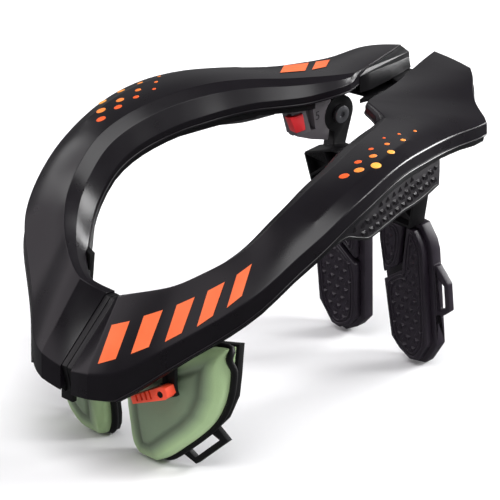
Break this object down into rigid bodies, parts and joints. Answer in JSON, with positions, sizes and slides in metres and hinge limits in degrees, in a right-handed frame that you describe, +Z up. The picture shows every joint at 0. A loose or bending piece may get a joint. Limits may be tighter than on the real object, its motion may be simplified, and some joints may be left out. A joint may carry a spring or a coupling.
{
  "type": "motocross neck brace",
  "caption": "Stiff collar worn round the neck for motocross, with chest pads, shoulder pads and tilting back wings, opening at a front latch and a rear hinge.",
  "frame": {"origin": "middle of the footprint, on the floor under the chest pads and wing tips", "axes": "+X to the wearer's left, +Y to the wearer's back, where the wings hang, +Z up"},
  "size_m": [0.238, 0.3406, 0.1922],
  "materials": {
    "shell": "satin moulded nylon, near black with a purple-grey sheen",
    "chassis": "matte black moulded plastic",
    "foam": "sage green foam skin with small relief",
    "binding": "matte black rubber and webbing",
    "rubber": "matte dark grey rubber with relief of triangles",
    "bracket": "matte mid grey plastic",
    "red_plastic": "satin red plastic",
    "orange_plastic": "satin orange-red plastic",
    "steel": "turned steel"
  },
  "bodies": {
    "left_half": {"left_shell": "shell", "left_chassis": "chassis", "left_front_plate": "chassis", "left_shoulder_pad": "rubber", "left_chest_pad": "foam", "left_chest_backing": "binding", "left_bracket": "bracket", "left_wedge": "red_plastic", "left_screw": "steel", "hinge_tongue": "chassis", "hinge_pin": "steel", "latch_mount": "chassis"},
    "right_half": {"right_shell": "shell", "right_chassis": "chassis", "right_front_plate": "chassis", "right_shoulder_pad": "rubber", "right_chest_pad": "foam", "right_chest_backing": "binding", "right_bracket": "bracket", "right_wedge": "red_plastic", "right_screw": "steel", "right_end_cap": "chassis"},
    "left_wing": {"left_wing_arm": "chassis", "left_wing_frame": "rubber", "left_wing_pad": "rubber", "left_wing_upper_pad": "rubber"},
    "right_wing": {"right_wing_arm": "chassis", "right_wing_frame": "rubber", "right_wing_pad": "rubber", "right_wing_upper_pad": "rubber"},
    "latch": {"latch_lever": "orange_plastic"}
  },
  "joints": [
    {"name": "collar_opening", "type": "hinge", "parent": "left_half", "child": "right_half", "pos_m": [-0.03998, 0.1537, 0.169], "axis": [0, 0, -1], "range_deg": [0, 30]},
    {"name": "left_wing_tilt", "type": "hinge", "parent": "left_half", "child": "left_wing", "pos_m": [0.041, 0.10176, 0.156], "axis": [1, 0, 0], "range_deg": [-8, 8]},
    {"name": "right_wing_tilt", "type": "hinge", "parent": "right_half", "child": "right_wing", "pos_m": [-0.041, 0.10176, 0.156], "axis": [1, 0, 0], "range_deg": [-8, 8]},
    {"name": "latch_release", "type": "hinge", "parent": "left_half", "child": "latch", "pos_m": [0.05795, -0.1373, 0.06298], "axis": [0.1736, -0.9848, 0], "range_deg": [0, 25]}
  ]
}
